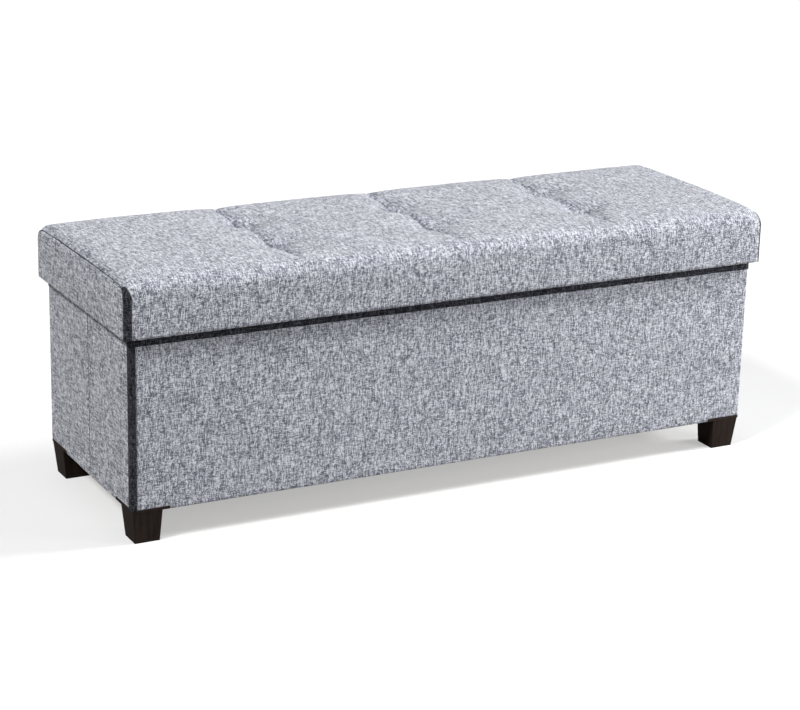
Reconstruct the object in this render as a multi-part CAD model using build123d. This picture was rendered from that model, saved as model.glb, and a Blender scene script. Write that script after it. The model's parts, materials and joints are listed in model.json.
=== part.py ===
from build123d import *
import math
import os

# Upholstered storage bench. Origin on the floor under the middle of the bench.
# X runs along the length, -Y is the front, +Z is up. Millimetres.

# Overall
LENGTH = 1143.0
DEPTH = 388.0
HEIGHT = 420.0

# Levels
BODY_BOTTOM = 52.0
RIM = 330.5
LID_BOTTOM = 333.0

# Body box
OVERHANG = 12.3
CLOTH = 1.2
LINING = 1.0
LONG_BOARD = 14.0
END_BOARD = 12.0
FOLD_GAP = 1.0
RIM_BINDING_DROP = 9.0
CORNER_BINDING_FRONT = 8.0
CORNER_BINDING_SIDE = 12.0

# Legs, each with a corner plate let up into the foot of the walls
LEG_TOP = 49.8
LEG_FOOT = 41.5
LEG_TOP_INSET = 1.1
LEG_FOOT_INSET = 6.4
LEG_EDGE = 1.5
PLATE_X = 62.0
PLATE_Y = 70.0
PLATE_THICK = 4.5
PLATE_INSET = 0.6
POCKET_SLACK = 0.3

# Base
BASE_RAIL_WIDE = 40.0
BASE_RAIL_TALL = 18.0
BASE_BOARD = 10.0
BASE_SLACK = 0.5
BOLT_R = 4.0
BOLT_IN_LEG = 32.0
NUT_BARREL_R = 5.0
NUT_BARREL = 13.0
NUT_FLANGE_R = 9.0
NUT_FLANGE = 1.5

# Lid
SKIN = 1.5
ROLL = 22.0
DUST_COVER = 0.8
RAIL_TALL = 40.0
LONG_RAIL = 40.0
END_RAIL = 60.0
CROSS_BRACE = 30.0
LID_BOARD = 10.0
LID_BINDING_FRONT = 11.5
LID_BINDING_SIDE = 6.0
BRACE_X = 185.0
TUFT_COLUMNS = (-268.0, 14.0, 296.0)
TUFT_ROWS = (-58.0, 70.0)
TIE_R = 1.0
TIE_TOP = 398.0
WASHER_R = 10.0
WASHER = 1.5

# Rim bumpers
BUMPER_R = 6.0
BUMPER_GAP = 0.1
FRONT_BUMPER_X = 480.0
BACK_BUMPER_X = 250.0

# Butt hinges outside the back panel, under the lid's rear overhang
HINGE_X = (-420.0, 0.0, 420.0)
HINGE_WIDE = 60.0
LEAF = 1.2
LEAF_REACH = 27.0
LID_LEAF_REACH = 36.0
KNUCKLE_R = 3.6
KNUCKLE_BITE = 0.6
KNUCKLE_GAP = 0.2
KNUCKLE_CLEAR = 0.3
KNUCKLES = 5
PIN_R = 1.6
PIN_CLEAR = 0.05
PIN_HEAD_R = 2.6
PIN_HEAD = 1.2
HINGE_SCREW_X = 18.0
BODY_SCREW_DROP = 19.0
LID_SCREW_REACH = 28.0

# Wood screws
SCREW_R = 1.75
SCREW_HEAD_R = 3.2
SCREW_HEAD = 1.2
WALL_SCREW = 12.0
LID_SCREW = 18.0

# Slotted lid stays. Pivot and stud lie on one circle about the hinge axis,
# so the arm turns half as far as the lid.
STAY_CIRCLE = 120.0
PIVOT_DIP = 6.0
STUD_DIP = 36.0
LID_OPEN = 95.0
ARM_OUT = 540.0
ARM_THICK = 2.0
ARM_HALF = 9.0
ARM_END = 15.0
SLOT_END = 6.0
SLOT_CLEAR = 0.1
STUD_R = 3.0
STUD_SHOULDER_R = 5.0
STUD_HEAD_R = 6.0
RIVET_BORE_CLEAR = 0.08
SIDE_GAP = 0.3
HEAD_THICK = 1.8
BRACKET = 2.0
TAB_OUT = 543.0
TAB_HALF = 12.0
FLANGE_WIDE = 32.0
FLANGE_SCREW_X = 522.0
BRACKET_SCREW_Y = 9.0
WALL_PLATE_HALF = 17.0
WALL_PLATE_UP = 26.0
WALL_SCREW_DROP = 16.0

# Derived
BODY_X = LENGTH / 2 - OVERHANG
BODY_Y = DEPTH / 2 - OVERHANG
BOARD_X = BODY_X - CLOTH
BOARD_Y = BODY_Y - CLOTH
INNER_X = BOARD_X - END_BOARD
INNER_Y = BOARD_Y - LONG_BOARD
BOARD_LOW = BODY_BOTTOM + CLOTH
BOARD_HIGH = RIM - CLOTH
PLATE_TOP = BODY_BOTTOM + PLATE_THICK
BASE_RAIL_TOP = PLATE_TOP + BASE_RAIL_TALL
BASE_TOP = BASE_RAIL_TOP + BASE_BOARD
ROOM_X = INNER_X - LINING
ROOM_Y = INNER_Y - LINING
BACK_FACE = BODY_Y
HINGE_Y = BACK_FACE + LEAF + KNUCKLE_R - KNUCKLE_BITE
HINGE_Z = LID_BOTTOM - LEAF - KNUCKLE_R + KNUCKLE_BITE
LID_X = LENGTH / 2 - SKIN
LID_Y = DEPTH / 2 - SKIN
RAIL_LOW = LID_BOTTOM + DUST_COVER
RAIL_HIGH = RAIL_LOW + RAIL_TALL
FOAM_LOW = RAIL_HIGH + LID_BOARD
FOAM_HIGH = HEIGHT - SKIN
LEG_X = BODY_X - LEG_TOP_INSET - LEG_TOP / 2
LEG_Y = BODY_Y - LEG_TOP_INSET - LEG_TOP / 2


def block(x0, x1, y0, y1, z0, z1):
    """A box from two opposite corners, given in any order."""
    middle = Pos((x0 + x1) / 2, (y0 + y1) / 2, (z0 + z1) / 2)
    return middle * Box(abs(x1 - x0), abs(y1 - y0), abs(z1 - z0))


def rod_x(y, z, radius, x0, x1):
    """A round bar along X."""
    return Pos((x0 + x1) / 2, y, z) * Rot(0, 90, 0) * Cylinder(radius, abs(x1 - x0))


def rod_y(x, z, radius, y0, y1):
    """A round bar along Y."""
    return Pos(x, (y0 + y1) / 2, z) * Rot(90, 0, 0) * Cylinder(radius, abs(y1 - y0))


def rod_z(x, y, radius, z0, z1):
    """A round bar along Z."""
    return Pos(x, y, (z0 + z1) / 2) * Cylinder(radius, abs(z1 - z0))


def less(shape, cutters):
    """The shape with every cutter taken away."""
    for cutter in cutters:
        shape = shape - cutter
    return shape


def rolled_block(x0, x1, half_depth, z0, z1, radius):
    """A block whose two long top edges are rounded."""
    body = block(x0, x1, -half_depth, half_depth, z0, z1)
    return fillet(body.edges().filter_by(Axis.X).group_by(Axis.Z)[-1], radius)


def on_stay_circle(dip):
    """Y and Z of a point in front of the hinge axis, dipped below it by an angle."""
    angle = math.radians(dip)
    return (
        HINGE_Y - STAY_CIRCLE * math.cos(angle),
        HINGE_Z - STAY_CIRCLE * math.sin(angle),
    )


PIVOT_Y, PIVOT_Z = on_stay_circle(PIVOT_DIP)
STUD_Y, STUD_Z = on_stay_circle(STUD_DIP)


def chord(angle):
    """The straight distance between two points of the stay circle."""
    return 2 * STAY_CIRCLE * math.sin(math.radians(angle) / 2)


# Fasteners -------------------------------------------------------------------

def wall_screw_y(x, z):
    """A screw driven forwards through the back panel from behind."""
    face = BACK_FACE + LEAF
    shaft = rod_y(x, z, SCREW_R, face - WALL_SCREW, face)
    return shaft + rod_y(x, z, SCREW_HEAD_R, face, face + SCREW_HEAD)


def lid_screw(x, y, face):
    """A screw driven up into a lid rail, with its head under the given face."""
    shaft = rod_z(x, y, SCREW_R, face, face + LID_SCREW)
    return shaft + rod_z(x, y, SCREW_HEAD_R, face - SCREW_HEAD, face)


def end_screw(side, y, z):
    """A screw driven outwards into an end board from inside the box."""
    face = side * (ROOM_X - BRACKET)
    shaft = rod_x(y, z, SCREW_R, face, face + side * WALL_SCREW)
    return shaft + rod_x(y, z, SCREW_HEAD_R, face - side * SCREW_HEAD, face)


def hinge_body_screws():
    places = [x + s * HINGE_SCREW_X for x in HINGE_X for s in (-1, 1)]
    return [wall_screw_y(x, HINGE_Z - BODY_SCREW_DROP) for x in places]


def hinge_lid_screws():
    places = [x + s * HINGE_SCREW_X for x in HINGE_X for s in (-1, 1)]
    return [lid_screw(x, HINGE_Y - LID_SCREW_REACH, LID_BOTTOM - LEAF) for x in places]


def stay_lid_screws():
    face = LID_BOTTOM - BRACKET
    return [
        lid_screw(side * FLANGE_SCREW_X, PIVOT_Y + step * BRACKET_SCREW_Y, face)
        for side in (-1, 1)
        for step in (-1, 1)
    ]


def stay_wall_screws():
    return [
        end_screw(side, STUD_Y + step * BRACKET_SCREW_Y, STUD_Z - WALL_SCREW_DROP)
        for side in (-1, 1)
        for step in (-1, 1)
    ]


def leg_bolts():
    low = BODY_BOTTOM - BOLT_IN_LEG
    return [
        rod_z(sx * LEG_X, sy * LEG_Y, BOLT_R, low, BASE_RAIL_TOP)
        for sx in (-1, 1)
        for sy in (-1, 1)
    ]


def leg_tee_nuts():
    nuts = []
    flange_low = BASE_RAIL_TOP - NUT_FLANGE
    for sx in (-1, 1):
        for sy in (-1, 1):
            x = sx * LEG_X
            y = sy * LEG_Y
            barrel = rod_z(x, y, NUT_BARREL_R, flange_low - NUT_BARREL, flange_low)
            nut = barrel + rod_z(x, y, NUT_FLANGE_R, flange_low, BASE_RAIL_TOP)
            nuts.append(nut - rod_z(x, y, BOLT_R, BODY_BOTTOM, RIM))
    return nuts


# Body ------------------------------------------------------------------------

def plate_pocket(sx, sy):
    """The corner of the walls that is cut away for a leg plate."""
    return block(
        sx * (BODY_X + 1),
        sx * (BODY_X - PLATE_INSET - PLATE_X - POCKET_SLACK),
        sy * (BODY_Y + 1),
        sy * (BODY_Y - PLATE_INSET - PLATE_Y - POCKET_SLACK),
        BODY_BOTTOM - 1,
        PLATE_TOP,
    )


POCKETS = [plate_pocket(sx, sy) for sx in (-1, 1) for sy in (-1, 1)]


def corner_binding(sx, sy):
    """The narrow cloth strip that closes the cover round one upright corner."""
    long_arm = block(
        sx * BODY_X, sx * (BODY_X - CORNER_BINDING_FRONT),
        sy * BODY_Y, sy * BOARD_Y, BODY_BOTTOM, RIM,
    )
    short_arm = block(
        sx * BODY_X, sx * BOARD_X,
        sy * BODY_Y, sy * (BODY_Y - CORNER_BINDING_SIDE), BODY_BOTTOM, RIM,
    )
    return less(long_arm + short_arm, POCKETS)


def long_board(sy):
    board = block(-BOARD_X, BOARD_X, sy * BOARD_Y, sy * INNER_Y, BOARD_LOW, BOARD_HIGH)
    cutters = POCKETS + hinge_body_screws() if sy > 0 else POCKETS
    return less(board, cutters)


def end_board(sx, sy):
    """Half of an end wall, which stops short of the fold line down its middle."""
    board = block(
        sx * BOARD_X, sx * INNER_X, sy * FOLD_GAP / 2, sy * INNER_Y, BOARD_LOW, BOARD_HIGH
    )
    return less(board, POCKETS + stay_wall_screws())


def long_cover(sy, bindings):
    """Cloth over the outside of a long wall, turned in under its foot."""
    face = block(
        -BODY_X, BODY_X, sy * BODY_Y, sy * BOARD_Y, BODY_BOTTOM, RIM - RIM_BINDING_DROP
    )
    hem = block(-BOARD_X, BOARD_X, sy * BOARD_Y, sy * INNER_Y, BODY_BOTTOM, BOARD_LOW)
    cutters = POCKETS + bindings
    if sy > 0:
        cutters = cutters + hinge_body_screws()
    return less(face + hem, cutters)


def end_cover(sx, bindings):
    """Cloth over the outside of an end wall, turned in over its rim and under its foot."""
    face = block(sx * BODY_X, sx * BOARD_X, -BOARD_Y, BOARD_Y, BODY_BOTTOM, RIM)
    rim = block(sx * BOARD_X, sx * INNER_X, -INNER_Y, INNER_Y, BOARD_HIGH, RIM)
    hem = block(sx * BOARD_X, sx * INNER_X, -INNER_Y, INNER_Y, BODY_BOTTOM, BOARD_LOW)
    return less(face + rim + hem, POCKETS + bindings)


def rim_binding(sy, bindings):
    """The dark strip folded over the rim of a long wall."""
    face = block(-BODY_X, BODY_X, sy * BODY_Y, sy * BOARD_Y, RIM - RIM_BINDING_DROP, RIM)
    over = block(-BOARD_X, BOARD_X, sy * BOARD_Y, sy * INNER_Y, BOARD_HIGH, RIM)
    return less(face + over, bindings)


def long_lining(sy):
    return block(-INNER_X, INNER_X, sy * INNER_Y, sy * ROOM_Y, PLATE_TOP, BOARD_HIGH)


def end_lining(sx):
    lining = block(sx * INNER_X, sx * ROOM_X, -ROOM_Y, ROOM_Y, PLATE_TOP, BOARD_HIGH)
    return less(lining, stay_wall_screws())


def base_rail(sy):
    rail = block(
        -ROOM_X, ROOM_X, sy * ROOM_Y, sy * (ROOM_Y - BASE_RAIL_WIDE), PLATE_TOP, BASE_RAIL_TOP
    )
    return less(rail, leg_bolts() + leg_tee_nuts())


def base_board():
    x = ROOM_X - BASE_SLACK
    y = ROOM_Y - BASE_SLACK
    return block(-x, x, -y, y, BASE_RAIL_TOP, BASE_TOP)


def leg(sx, sy):
    """A square tapered leg under its corner plate."""
    foot_x = BODY_X - LEG_FOOT_INSET - LEG_FOOT / 2
    foot_y = BODY_Y - LEG_FOOT_INSET - LEG_FOOT / 2
    foot = Pos(sx * foot_x, sy * foot_y, 0) * Rectangle(LEG_FOOT, LEG_FOOT)
    top = Pos(sx * LEG_X, sy * LEG_Y, BODY_BOTTOM) * Rectangle(LEG_TOP, LEG_TOP)
    post = loft([foot.face(), top.face()])
    uprights = [edge for edge in post.edges() if abs((edge % 0.5).Z) > 0.9]
    post = fillet(uprights, LEG_EDGE)
    outer_x = BODY_X - PLATE_INSET
    outer_y = BODY_Y - PLATE_INSET
    plate = block(
        sx * outer_x, sx * (outer_x - PLATE_X),
        sy * outer_y, sy * (outer_y - PLATE_Y), BODY_BOTTOM, PLATE_TOP,
    )
    return less(post + plate, leg_bolts())


def rim_bumpers():
    middle = (BOARD_Y + INNER_Y) / 2
    top = LID_BOTTOM - BUMPER_GAP
    front = [rod_z(s * FRONT_BUMPER_X, -middle, BUMPER_R, RIM, top) for s in (-1, 1)]
    back = [rod_z(s * BACK_BUMPER_X, middle, BUMPER_R, RIM, top) for s in (-1, 1)]
    return front + back


# Hinges ----------------------------------------------------------------------

def knuckle_span(centre, index):
    """Start and end of one knuckle, counted from the hinge's left."""
    pitch = HINGE_WIDE / KNUCKLES
    start = centre - HINGE_WIDE / 2 + index * pitch
    return start + KNUCKLE_GAP / 2, start + pitch - KNUCKLE_GAP / 2


def hinge_leaf(centre, plate, own, other):
    """A plate with its own knuckles, cut clear of the other leaf's."""
    bore = PIN_R + PIN_CLEAR
    pitch = HINGE_WIDE / KNUCKLES
    for index in other:
        start = centre - HINGE_WIDE / 2 + index * pitch
        gap = rod_x(HINGE_Y, HINGE_Z, KNUCKLE_R + KNUCKLE_CLEAR, start, start + pitch)
        plate = plate - gap
    for index in own:
        start, end = knuckle_span(centre, index)
        plate = plate + rod_x(HINGE_Y, HINGE_Z, KNUCKLE_R, start, end)
    reach = HINGE_WIDE / 2 + 1
    return plate - rod_x(HINGE_Y, HINGE_Z, bore, centre - reach, centre + reach)


def hinge_body_leaves():
    leaves = []
    for x in HINGE_X:
        plate = block(
            x - HINGE_WIDE / 2, x + HINGE_WIDE / 2,
            BACK_FACE, BACK_FACE + LEAF, HINGE_Z - LEAF_REACH, HINGE_Z + 1,
        )
        leaf = hinge_leaf(x, plate, own=(0, 2, 4), other=(1, 3))
        leaves.append(less(leaf, hinge_body_screws()))
    return leaves


def hinge_lid_leaves():
    leaves = []
    for x in HINGE_X:
        plate = block(
            x - HINGE_WIDE / 2, x + HINGE_WIDE / 2,
            HINGE_Y - LID_LEAF_REACH, HINGE_Y + 1, LID_BOTTOM - LEAF, LID_BOTTOM,
        )
        leaf = hinge_leaf(x, plate, own=(1, 3), other=(0, 2, 4))
        leaves.append(less(leaf, hinge_lid_screws()))
    return leaves


def hinge_pins():
    pins = []
    half = HINGE_WIDE / 2
    for x in HINGE_X:
        pin = rod_x(HINGE_Y, HINGE_Z, PIN_R, x - half, x + half)
        for side in (-1, 1):
            end = x + side * (half - KNUCKLE_GAP / 2)
            pin = pin + rod_x(HINGE_Y, HINGE_Z, PIN_HEAD_R, end, end + side * PIN_HEAD)
        pins.append(pin)
    return pins


# Lid -------------------------------------------------------------------------

def lid_binding(sx, sy):
    """The narrow strip round one upright corner of the lid, below its rolled edge."""
    edge_x = LENGTH / 2
    edge_y = DEPTH / 2
    top = HEIGHT - ROLL
    long_arm = block(
        sx * edge_x, sx * (edge_x - LID_BINDING_FRONT), sy * edge_y, sy * LID_Y, LID_BOTTOM, top
    )
    short_arm = block(
        sx * edge_x, sx * LID_X, sy * edge_y, sy * (edge_y - LID_BINDING_SIDE), LID_BOTTOM, top
    )
    return long_arm + short_arm


def lid_top_cover(bindings):
    """One width of cloth down the front, over the top and down the back."""
    outside = rolled_block(-LID_X, LID_X, DEPTH / 2, LID_BOTTOM, HEIGHT, ROLL)
    inside = rolled_block(
        -LENGTH, LENGTH, LID_Y, LID_BOTTOM - SKIN, HEIGHT - SKIN, ROLL - SKIN
    )
    return less(outside - inside, bindings)


def lid_gusset(sx, bindings):
    """The cloth panel sewn to one end of the top cover."""
    low_x, high_x = sorted((sx * LID_X, sx * LENGTH / 2))
    panel = rolled_block(low_x, high_x, DEPTH / 2, LID_BOTTOM, HEIGHT, ROLL)
    return less(panel, bindings)


def tuft_places():
    return [(x, y) for x in TUFT_COLUMNS for y in TUFT_ROWS]


def tuft_ties():
    return [rod_z(x, y, TIE_R, RAIL_HIGH - WASHER, TIE_TOP) for x, y in tuft_places()]


def tuft_washers():
    washers = [rod_z(x, y, WASHER_R, RAIL_HIGH - WASHER, RAIL_HIGH) for x, y in tuft_places()]
    return [less(washer, tuft_ties()) for washer in washers]


def lid_foam_pad():
    pad = rolled_block(-LID_X, LID_X, LID_Y, FOAM_LOW, FOAM_HIGH, ROLL - SKIN)
    return less(pad, tuft_ties())


def lid_board():
    return less(block(-LID_X, LID_X, -LID_Y, LID_Y, RAIL_HIGH, FOAM_LOW), tuft_ties())


def lid_long_rail(sy):
    rail = block(-LID_X, LID_X, sy * LID_Y, sy * (LID_Y - LONG_RAIL), RAIL_LOW, RAIL_HIGH)
    return less(rail, hinge_lid_screws()) if sy > 0 else rail


def lid_end_rail(sx):
    end = LID_Y - LONG_RAIL
    rail = block(sx * LID_X, sx * (LID_X - END_RAIL), -end, end, RAIL_LOW, RAIL_HIGH)
    return less(rail, stay_lid_screws())


def lid_cross_brace(sx):
    end = LID_Y - LONG_RAIL
    centre = sx * BRACE_X
    return block(
        centre - CROSS_BRACE / 2, centre + CROSS_BRACE / 2, -end, end, RAIL_LOW, RAIL_HIGH
    )


def lid_dust_cover():
    sheet = block(-LID_X, LID_X, -LID_Y, LID_Y, LID_BOTTOM, RAIL_LOW)
    return less(sheet, hinge_lid_screws() + stay_lid_screws())


# Lid stays -------------------------------------------------------------------

def stay_wall_bracket(sx):
    """A plate on the end wall with the stud that runs in the arm's slot."""
    plate = block(
        sx * ROOM_X, sx * (ROOM_X - BRACKET),
        STUD_Y - WALL_PLATE_HALF, STUD_Y + WALL_PLATE_HALF,
        STUD_Z - WALL_PLATE_UP, STUD_Z + WALL_PLATE_UP,
    )
    arm_in = ARM_OUT - ARM_THICK
    shoulder_end = ARM_OUT + SIDE_GAP
    head_start = arm_in - SIDE_GAP
    shoulder = rod_x(STUD_Y, STUD_Z, STUD_SHOULDER_R, sx * (ROOM_X - BRACKET), sx * shoulder_end)
    stud = rod_x(STUD_Y, STUD_Z, STUD_R, sx * shoulder_end, sx * head_start)
    head = rod_x(STUD_Y, STUD_Z, STUD_HEAD_R, sx * head_start, sx * (head_start - HEAD_THICK))
    return less(plate + shoulder + stud + head, stay_wall_screws())


def stay_lid_bracket(sx):
    """An angle under the lid whose tab hangs down to the arm's pivot."""
    flange = block(
        sx * TAB_OUT, sx * (TAB_OUT - FLANGE_WIDE),
        PIVOT_Y - TAB_HALF - 4, PIVOT_Y + TAB_HALF + 4, LID_BOTTOM - BRACKET, LID_BOTTOM,
    )
    tab = block(
        sx * TAB_OUT, sx * (TAB_OUT - BRACKET),
        PIVOT_Y - TAB_HALF, PIVOT_Y + TAB_HALF, PIVOT_Z, LID_BOTTOM,
    )
    nose = rod_x(PIVOT_Y, PIVOT_Z, TAB_HALF, sx * TAB_OUT, sx * (TAB_OUT - BRACKET))
    bore = rod_x(PIVOT_Y, PIVOT_Z, STUD_R, sx * (TAB_OUT + 1), sx * (TAB_OUT - BRACKET - 1))
    return less(flange + tab + nose - bore, stay_lid_screws())


def stay_pivot_rivet(sx):
    """A shouldered rivet that hangs the arm on the lid bracket."""
    head_start = ARM_OUT - ARM_THICK - SIDE_GAP
    head = rod_x(PIVOT_Y, PIVOT_Z, STUD_HEAD_R, sx * head_start, sx * (head_start - HEAD_THICK))
    shaft = rod_x(PIVOT_Y, PIVOT_Z, STUD_R, sx * head_start, sx * TAB_OUT)
    shoulder = rod_x(
        PIVOT_Y, PIVOT_Z, STUD_SHOULDER_R, sx * (ARM_OUT + SIDE_GAP), sx * (TAB_OUT - BRACKET)
    )
    tail = rod_x(PIVOT_Y, PIVOT_Z, STUD_SHOULDER_R, sx * TAB_OUT, sx * (TAB_OUT + 1.2))
    return head + shaft + shoulder + tail


def stay_arm(sx):
    """A flat slotted arm from the lid pivot down past the wall stud."""
    shut = chord(STUD_DIP - PIVOT_DIP)
    full = chord(STUD_DIP - PIVOT_DIP + LID_OPEN)
    tip = full + ARM_END
    slot_start = shut - SLOT_END
    slot_end = full + SLOT_END
    outline = Pos(tip / 2, 0) * SlotCenterToCenter(tip, 2 * ARM_HALF)
    slot_width = 2 * (STUD_R + SLOT_CLEAR)
    slot = Pos((slot_start + slot_end) / 2, 0) * SlotCenterToCenter(
        slot_end - slot_start, slot_width
    )
    profile = outline - slot - Circle(STUD_R + RIVET_BORE_CLEAR)
    lean = math.radians((PIVOT_DIP + STUD_DIP) / 2)
    low_face = min(sx * ARM_OUT, sx * (ARM_OUT - ARM_THICK))
    plane = Plane(
        origin=(low_face, PIVOT_Y, PIVOT_Z),
        x_dir=(0, math.sin(lean), -math.cos(lean)),
        z_dir=(1, 0, 0),
    )
    return plane * extrude(profile, ARM_THICK)


# Nodes -----------------------------------------------------------------------

def body_nodes():
    front_left = corner_binding(-1, -1)
    rear_right = corner_binding(1, 1)
    bindings = [front_left, rear_right]
    nodes = {
        "front_panel_board": long_board(-1),
        "back_panel_board": long_board(1),
        "front_panel_cover": long_cover(-1, bindings),
        "back_panel_cover": long_cover(1, bindings),
        "front_left_corner_binding": front_left,
        "rear_right_corner_binding": rear_right,
        "front_rim_binding": rim_binding(-1, bindings),
        "back_rim_binding": rim_binding(1, bindings),
        "front_inner_lining": long_lining(-1),
        "back_inner_lining": long_lining(1),
        "front_base_rail": base_rail(-1),
        "rear_base_rail": base_rail(1),
        "base_board": base_board(),
        "leg_bolts": leg_bolts(),
        "leg_tee_nuts": leg_tee_nuts(),
        "rim_bumpers": rim_bumpers(),
        "hinge_body_leaves": hinge_body_leaves(),
        "hinge_body_screws": hinge_body_screws(),
        "hinge_pins": hinge_pins(),
        "stay_wall_screws": stay_wall_screws(),
    }
    for sx, side in ((-1, "left"), (1, "right")):
        nodes[side + "_end_cover"] = end_cover(sx, bindings)
        nodes[side + "_inner_lining"] = end_lining(sx)
        nodes[side + "_stay_wall_bracket"] = stay_wall_bracket(sx)
        for sy, place in ((-1, "front"), (1, "rear")):
            nodes[side + "_end_" + place + "_board"] = end_board(sx, sy)
            nodes[place + "_" + side + "_leg"] = leg(sx, sy)
    return nodes


def lid_nodes():
    front_left = lid_binding(-1, -1)
    rear_right = lid_binding(1, 1)
    bindings = [front_left, rear_right]
    nodes = {
        "lid_board": lid_board(),
        "lid_front_rail": lid_long_rail(-1),
        "lid_back_rail": lid_long_rail(1),
        "lid_foam_pad": lid_foam_pad(),
        "lid_top_cover": lid_top_cover(bindings),
        "lid_front_left_binding": front_left,
        "lid_rear_right_binding": rear_right,
        "lid_dust_cover": lid_dust_cover(),
        "tuft_ties": tuft_ties(),
        "tuft_washers": tuft_washers(),
        "hinge_lid_leaves": hinge_lid_leaves(),
        "hinge_lid_screws": hinge_lid_screws(),
        "stay_lid_screws": stay_lid_screws(),
        "stay_pivot_rivets": [stay_pivot_rivet(-1), stay_pivot_rivet(1)],
    }
    for sx, side in ((-1, "left"), (1, "right")):
        nodes["lid_" + side + "_rail"] = lid_end_rail(sx)
        nodes["lid_" + side + "_cross_brace"] = lid_cross_brace(sx)
        nodes["lid_" + side + "_gusset"] = lid_gusset(sx, bindings)
        nodes[side + "_stay_lid_bracket"] = stay_lid_bracket(sx)
    return nodes


def stay_nodes():
    return {"left_stay_arm": stay_arm(-1), "right_stay_arm": stay_arm(1)}


def write_nodes(nodes):
    os.makedirs("parts", exist_ok=True)
    for name, shape in nodes.items():
        if isinstance(shape, list):
            shape = Compound([solid for piece in shape for solid in piece.solids()])
        export_step(shape, "parts/" + name + ".step")


write_nodes(body_nodes())
write_nodes(lid_nodes())
write_nodes(stay_nodes())
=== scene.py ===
"""Looks of the upholstered storage bench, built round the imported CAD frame. Metres."""

import json
import math

import bpy
from mathutils import Matrix, Vector, noise


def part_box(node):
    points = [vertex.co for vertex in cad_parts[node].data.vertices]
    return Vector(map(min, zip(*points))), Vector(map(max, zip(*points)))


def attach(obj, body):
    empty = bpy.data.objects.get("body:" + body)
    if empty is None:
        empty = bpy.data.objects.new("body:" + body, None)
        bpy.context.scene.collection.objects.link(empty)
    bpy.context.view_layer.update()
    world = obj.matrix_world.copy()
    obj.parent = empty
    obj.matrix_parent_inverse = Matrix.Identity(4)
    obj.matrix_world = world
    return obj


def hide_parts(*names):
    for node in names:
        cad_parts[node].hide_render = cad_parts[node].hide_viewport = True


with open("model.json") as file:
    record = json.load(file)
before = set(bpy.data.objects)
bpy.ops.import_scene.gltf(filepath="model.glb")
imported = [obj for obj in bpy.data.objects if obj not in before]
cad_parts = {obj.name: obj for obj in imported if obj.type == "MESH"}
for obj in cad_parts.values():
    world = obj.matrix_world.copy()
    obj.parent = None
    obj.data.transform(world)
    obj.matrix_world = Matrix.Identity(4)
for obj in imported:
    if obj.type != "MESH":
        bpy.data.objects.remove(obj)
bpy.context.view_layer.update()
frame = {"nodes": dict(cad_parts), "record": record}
NODES = frame["nodes"]
MM = 0.001

# Sizes read from the frame
TOP_LOW, TOP_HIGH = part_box("lid_top_cover")
END_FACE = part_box("lid_right_gusset")[1][0]
FOAM_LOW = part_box("lid_foam_pad")[0][2]
TIE_LOW, TIE_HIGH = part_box("tuft_ties")
BODY_LOW, BODY_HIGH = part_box("front_panel_cover")
BODY_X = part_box("right_end_cover")[1][0]
BODY_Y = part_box("back_panel_cover")[1][1]
BODY_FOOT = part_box("left_end_cover")[0][2]
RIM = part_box("left_end_cover")[1][2]
PLATE_LOW, PLATE_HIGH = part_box("front_left_leg")

# Lid cushion
SKIN = 1.5 * MM
ROLL = 22 * MM
GRID = 4 * MM
SEAM_ROLL = 14 * MM
TIE_R = 1 * MM
COLUMNS = (
    TIE_LOW[0] + TIE_R,
    (TIE_LOW[0] + TIE_HIGH[0]) / 2,
    TIE_HIGH[0] - TIE_R,
)
ROWS = (TIE_LOW[1] + TIE_R, TIE_HIGH[1] - TIE_R)
STITCH = 16 * MM
DIMPLE_DEPTH = 26 * MM
CREASE_DEPTH = 9 * MM
CREASE_WIDE = 5 * MM
VALLEY_DEPTH = 3 * MM
VALLEY_WIDE = 26 * MM
DOME = 3 * MM
CROWNS = (8 * MM, 5.5 * MM, 5 * MM, 4 * MM)
SLIT_DEPTH = 7 * MM
SLIT_WIDE = 1.6 * MM
CREASE_STEPS = (-12, -8, -5, -3, -1.6, -0.8, 0, 0.8, 1.6, 3, 5, 8, 12)
CREASE_CLEAR = 14 * MM
ROW_STEPS = (-2.2, -1, 0, 1, 2.2)
ROW_CLEAR = 3 * MM

# Bindings, linings and the dark seam cords that paint seam shade
STRIP_THICK = 1.0 * MM
COVER_THICK = 1.2 * MM
LINING_THICK = 0.6 * MM
SEAM_CORD_R = 0.8 * MM
SEAM_CORD_SIDES = 6
LID_STRIP_TURN = math.radians(58)


# Mesh helpers ------------------------------------------------------------------

def link_mesh(name, points, faces, materials, smooth=True):
    mesh = bpy.data.meshes.new(name)
    mesh.from_pydata([tuple(p) for p in points], [], faces)
    mesh.validate()
    mesh.update()
    piece = bpy.data.objects.new(name, mesh)
    bpy.context.scene.collection.objects.link(piece)
    for material in materials:
        mesh.materials.append(material)
    for face in mesh.polygons:
        face.use_smooth = smooth
    return piece


def grid_faces(rows, columns, closed=False):
    """Quads over points laid out row by row. Closed joins the last column to the first."""
    faces = []
    last = columns if closed else columns - 1
    for r in range(rows - 1):
        for c in range(last):
            d = (c + 1) % columns
            a = r * columns
            b = (r + 1) * columns
            faces.append((a + c, a + d, b + d, b + c))
    return faces


def grid_piece(name, rows, materials, flip=False):
    """A sheet from equal rows of points."""
    columns = len(rows[0])
    faces = grid_faces(len(rows), columns)
    if flip:
        faces = [tuple(reversed(face)) for face in faces]
    return link_mesh(name, [p for row in rows for p in row], faces, materials)


def thicken(piece, thickness):
    """Gives a sheet its thickness, behind the side that shows."""
    solid = piece.modifiers.new("thickness", "SOLIDIFY")
    solid.thickness = thickness
    solid.offset = 1.0


def stations(low, high, step, extra=()):
    """Evenly spread values from low to high, with any extra ones added."""
    count = max(2, round((high - low) / step))
    values = {low + (high - low) * k / count for k in range(count + 1)}
    values.update(v for v in extra if low < v < high)
    return sorted(values)


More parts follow.
